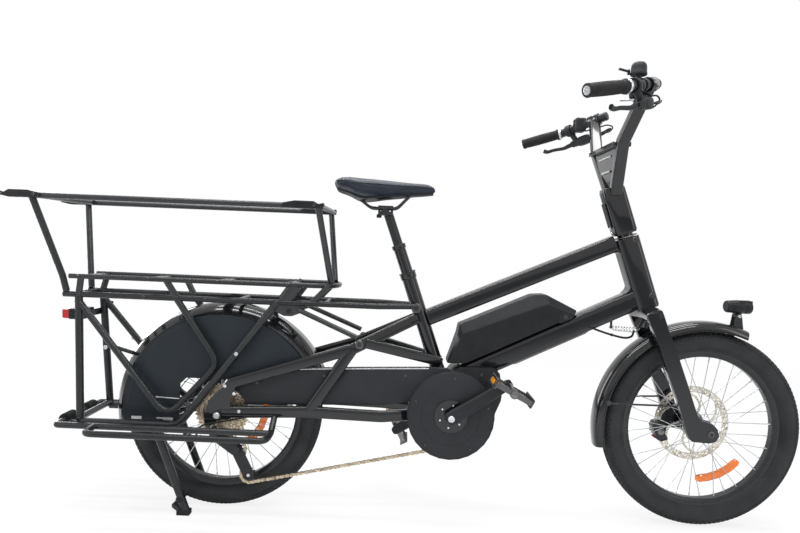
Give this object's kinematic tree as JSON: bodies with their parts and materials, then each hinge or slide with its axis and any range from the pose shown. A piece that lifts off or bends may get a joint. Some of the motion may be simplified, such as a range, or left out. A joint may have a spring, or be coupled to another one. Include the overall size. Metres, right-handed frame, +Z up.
{
  "type": "longtail cargo bicycle",
  "caption": "Longtail cargo bicycle with a long low rear deck inside a passenger hoop rail, small fat-tyred wheels, a low sloping frame with a battery on the down tube and swept-back bars",
  "frame": {"origin": "centre of the base of the bounding box, on the ground, between the two wheels and in the bicycle's middle plane", "axes": "+X points forward, to the front wheel; +Y points to the rider's left, away from the drive side; +Z points up"},
  "size_m": [2.052, 0.6704, 1.1397],
  "materials": {
    "gloss_black_paint": "gloss",
    "satin_black": "satin",
    "matt_grey_plastic": "matt",
    "saddle_skin": "matt",
    "soft_rubber": "matt",
    "tyre_rubber": "matt",
    "bare_alloy": "satin",
    "steel": "satin",
    "red_lens": "gloss"
  },
  "bodies": {
    "frame": {"head_tube": "gloss_black_paint", "top_tube": "gloss_black_paint", "down_tube": "gloss_black_paint", "seat_tube": "gloss_black_paint", "motor_unit": "satin_black", "stays_right": "gloss_black_paint", "stays_left": "gloss_black_paint", "rack_frame": "satin_black", "rack_front_brace_right": "satin_black", "rack_front_brace_left": "satin_black", "rack_rear_brace_right": "satin_black", "rack_rear_brace_left": "satin_black", "rack_deck": "satin_black", "top_rail": "satin_black", "footrest_right": "matt_grey_plastic", "footrest_left": "matt_grey_plastic", "tail_lamp": "red_lens", "bumper_right": "soft_rubber", "bumper_left": "soft_rubber", "wheel_cover": "matt_grey_plastic", "rear_mudguard": "gloss_black_paint", "chain_guard": "matt_grey_plastic", "chain": "steel", "derailleur_body": "satin_black", "steering_spring": "steel"},
    "steerer": {"fork": "gloss_black_paint", "stem": "gloss_black_paint", "handlebar_right": "satin_black", "handlebar_left": "satin_black", "grip_right": "soft_rubber", "grip_left": "soft_rubber", "brake_body_right": "satin_black", "brake_body_left": "satin_black", "bell": "satin_black", "shifter": "satin_black", "remote": "satin_black", "front_mudguard": "gloss_black_paint", "front_caliper": "satin_black"},
    "front_roller": {"front_tyre": "tyre_rubber", "front_wheel": "satin_black", "front_rotor": "steel"},
    "rear_roller": {"rear_tyre": "tyre_rubber", "rear_wheel": "satin_black"},
    "sprockets": {"cassette": "steel"},
    "cranks": {"crankset": "satin_black"},
    "pedal_r": {"pedal_right": "matt_grey_plastic"},
    "pedal_l": {"pedal_left": "matt_grey_plastic"},
    "cage": {"derailleur_cage": "satin_black"},
    "jockey_upper": {"pulley_upper": "satin_black"},
    "jockey_lower": {"pulley_lower": "satin_black"},
    "stand": {"centre_stand": "matt_grey_plastic"},
    "lower_post": {"seatpost_lower": "satin_black"},
    "upper_post": {"seatpost_upper": "satin_black", "saddle": "saddle_skin"},
    "battery_pack": {"battery": "satin_black"},
    "lamp": {"headlamp": "satin_black"},
    "lever_r": {"brake_lever_right": "satin_black"},
    "lever_l": {"brake_lever_left": "satin_black"},
    "shift_paddle": {"shift_lever": "bare_alloy"},
    "bell_hammer": {"bell_striker": "satin_black"}
  },
  "joints": [
    {"name": "steering", "type": "hinge", "parent": "frame", "child": "steerer", "pos_m": [0.609, 0, 0.575], "axis": [-0.3322, 0, 0.9432], "range_deg": [-45, 45], "stiffness_Nm_per_rad": 4, "deforming": ["steering_spring"]},
    {"name": "front_wheel_spin", "type": "hinge", "parent": "steerer", "child": "front_roller", "pos_m": [0.766, 0, 0.26], "axis": [0, 1, 0], "continuous": true},
    {"name": "headlamp_tilt", "type": "hinge", "parent": "steerer", "child": "lamp", "pos_m": [0.85, 0, 0.562], "axis": [0, 1, 0], "range_deg": [-15, 15]},
    {"name": "rear_wheel_spin", "type": "hinge", "parent": "frame", "child": "rear_roller", "pos_m": [-0.5, 0, 0.26], "axis": [0, 1, 0], "continuous": true},
    {"name": "crank_spin", "type": "hinge", "parent": "frame", "child": "cranks", "pos_m": [0.097, 0, 0.282], "axis": [0, 1, 0], "continuous": true},
    {"name": "cassette_spin", "type": "hinge", "parent": "frame", "child": "sprockets", "pos_m": [-0.5, 0, 0.26], "axis": [0, 1, 0], "continuous": true},
    {"name": "pedal_right_spin", "type": "hinge", "parent": "cranks", "child": "pedal_r", "pos_m": [0.23443, -0.14, 0.37331], "axis": [0, 1, 0], "continuous": true},
    {"name": "pedal_left_spin", "type": "hinge", "parent": "cranks", "child": "pedal_l", "pos_m": [-0.04043, 0.14, 0.19069], "axis": [0, 1, 0], "continuous": true},
    {"name": "derailleur_swing", "type": "hinge", "parent": "frame", "child": "cage", "pos_m": [-0.454, -0.046, 0.166], "axis": [0, 1, 0], "range_deg": [-30, 20], "stiffness_Nm_per_rad": 0.6, "deforming": ["chain"]},
    {"name": "jockey_upper_spin", "type": "hinge", "parent": "cage", "child": "jockey_upper", "pos_m": [-0.454, -0.046, 0.166], "axis": [0, 1, 0], "continuous": true},
    {"name": "jockey_lower_spin", "type": "hinge", "parent": "cage", "child": "jockey_lower", "pos_m": [-0.42, -0.046, 0.1], "axis": [0, 1, 0], "continuous": true},
    {"name": "stand_fold", "type": "hinge", "parent": "frame", "child": "stand", "pos_m": [-0.65, 0, 0.204], "axis": [0, 1, 0], "range_deg": [0, 105]},
    {"name": "seatpost_lower_slide", "type": "slide", "parent": "frame", "child": "lower_post", "axis": [-0.3451, 0, 0.9386], "range_m": [-0.05, 0.06]},
    {"name": "seatpost_upper_slide", "type": "slide", "parent": "lower_post", "child": "upper_post", "axis": [-0.3451, 0, 0.9386], "range_m": [-0.075, 0.02]},
    {"name": "battery_release", "type": "slide", "parent": "frame", "child": "battery_pack", "axis": [-0.4411, 0, 0.8975], "range_m": [0, 0.015]},
    {"name": "brake_lever_right_pull", "type": "hinge", "parent": "steerer", "child": "lever_r", "pos_m": [0.4643, -0.25142, 1.04276], "axis": [-0.4572, 0.8894, 0], "range_deg": [0, 11], "stiffness_Nm_per_rad": 0.4, "springref_deg": -8.59},
    {"name": "brake_lever_left_pull", "type": "hinge", "parent": "steerer", "child": "lever_l", "pos_m": [0.4643, 0.25142, 1.04276], "axis": [0.4572, 0.8894, 0], "range_deg": [0, 11], "stiffness_Nm_per_rad": 0.4, "springref_deg": -8.59},
    {"name": "shift_lever_push", "type": "hinge", "parent": "steerer", "child": "shift_paddle", "pos_m": [0.46808, -0.21182, 1.06696], "axis": [0, 0, 1], "range_deg": [0, 20], "stiffness_Nm_per_rad": 0.1, "springref_deg": -8.59},
    {"name": "bell_striker_flick", "type": "hinge", "parent": "steerer", "child": "bell_hammer", "pos_m": [0.44208, -0.23736, 1.11719], "axis": [0, 0, 1], "range_deg": [0, 15], "stiffness_Nm_per_rad": 0.02, "springref_deg": -8.59}
  ],
  "couplings": [
    {"joint": "cassette_spin", "follows": "crank_spin", "ratio": 1.875},
    {"joint": "jockey_upper_spin", "follows": "crank_spin", "ratio": -4.7647},
    {"joint": "jockey_lower_spin", "follows": "crank_spin", "ratio": 4.7647}
  ]
}
